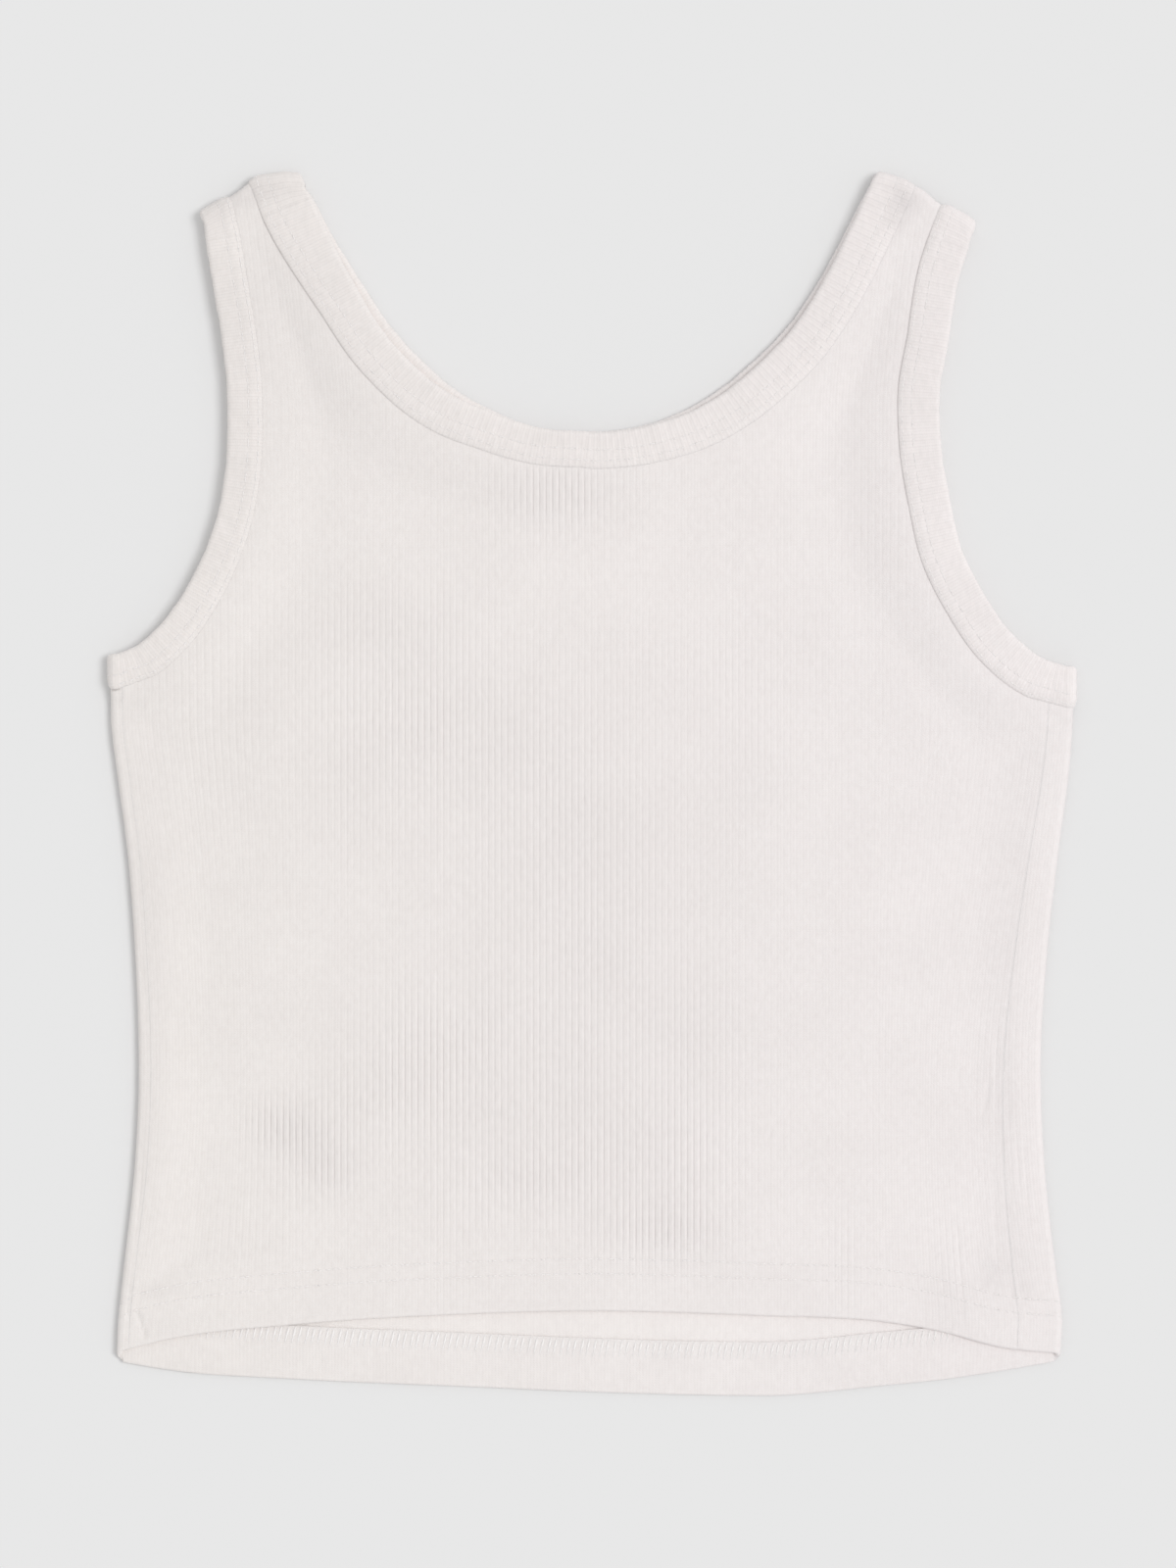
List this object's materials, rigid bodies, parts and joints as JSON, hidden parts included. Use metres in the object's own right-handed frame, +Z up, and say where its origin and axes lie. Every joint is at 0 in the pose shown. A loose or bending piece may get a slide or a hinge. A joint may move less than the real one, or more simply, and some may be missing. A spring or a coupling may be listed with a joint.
{
  "type": "tank top",
  "caption": "Cropped rib-knit tank top laid flat, back uppermost, with a deep scoop neck, bound neck and armholes, and turned-up hems.",
  "frame": {"origin": "centre of the garment's box, on the surface that it lies on", "axes": "+X across the garment to the right as seen from above, +Y along it from hem to shoulders, +Z up from the surface; the back panel is uppermost"},
  "size_m": [0.3626, 0.459, 0.0075],
  "materials": {
    "rib_knit": "matte",
    "rib_band": "matte"
  },
  "bodies": {
    "root": {"back_panel": "rib_knit", "front_panel": "rib_knit", "neck_binding": "rib_band", "armhole_binding_left": "rib_band", "armhole_binding_right": "rib_band"}
  },
  "joints": []
}
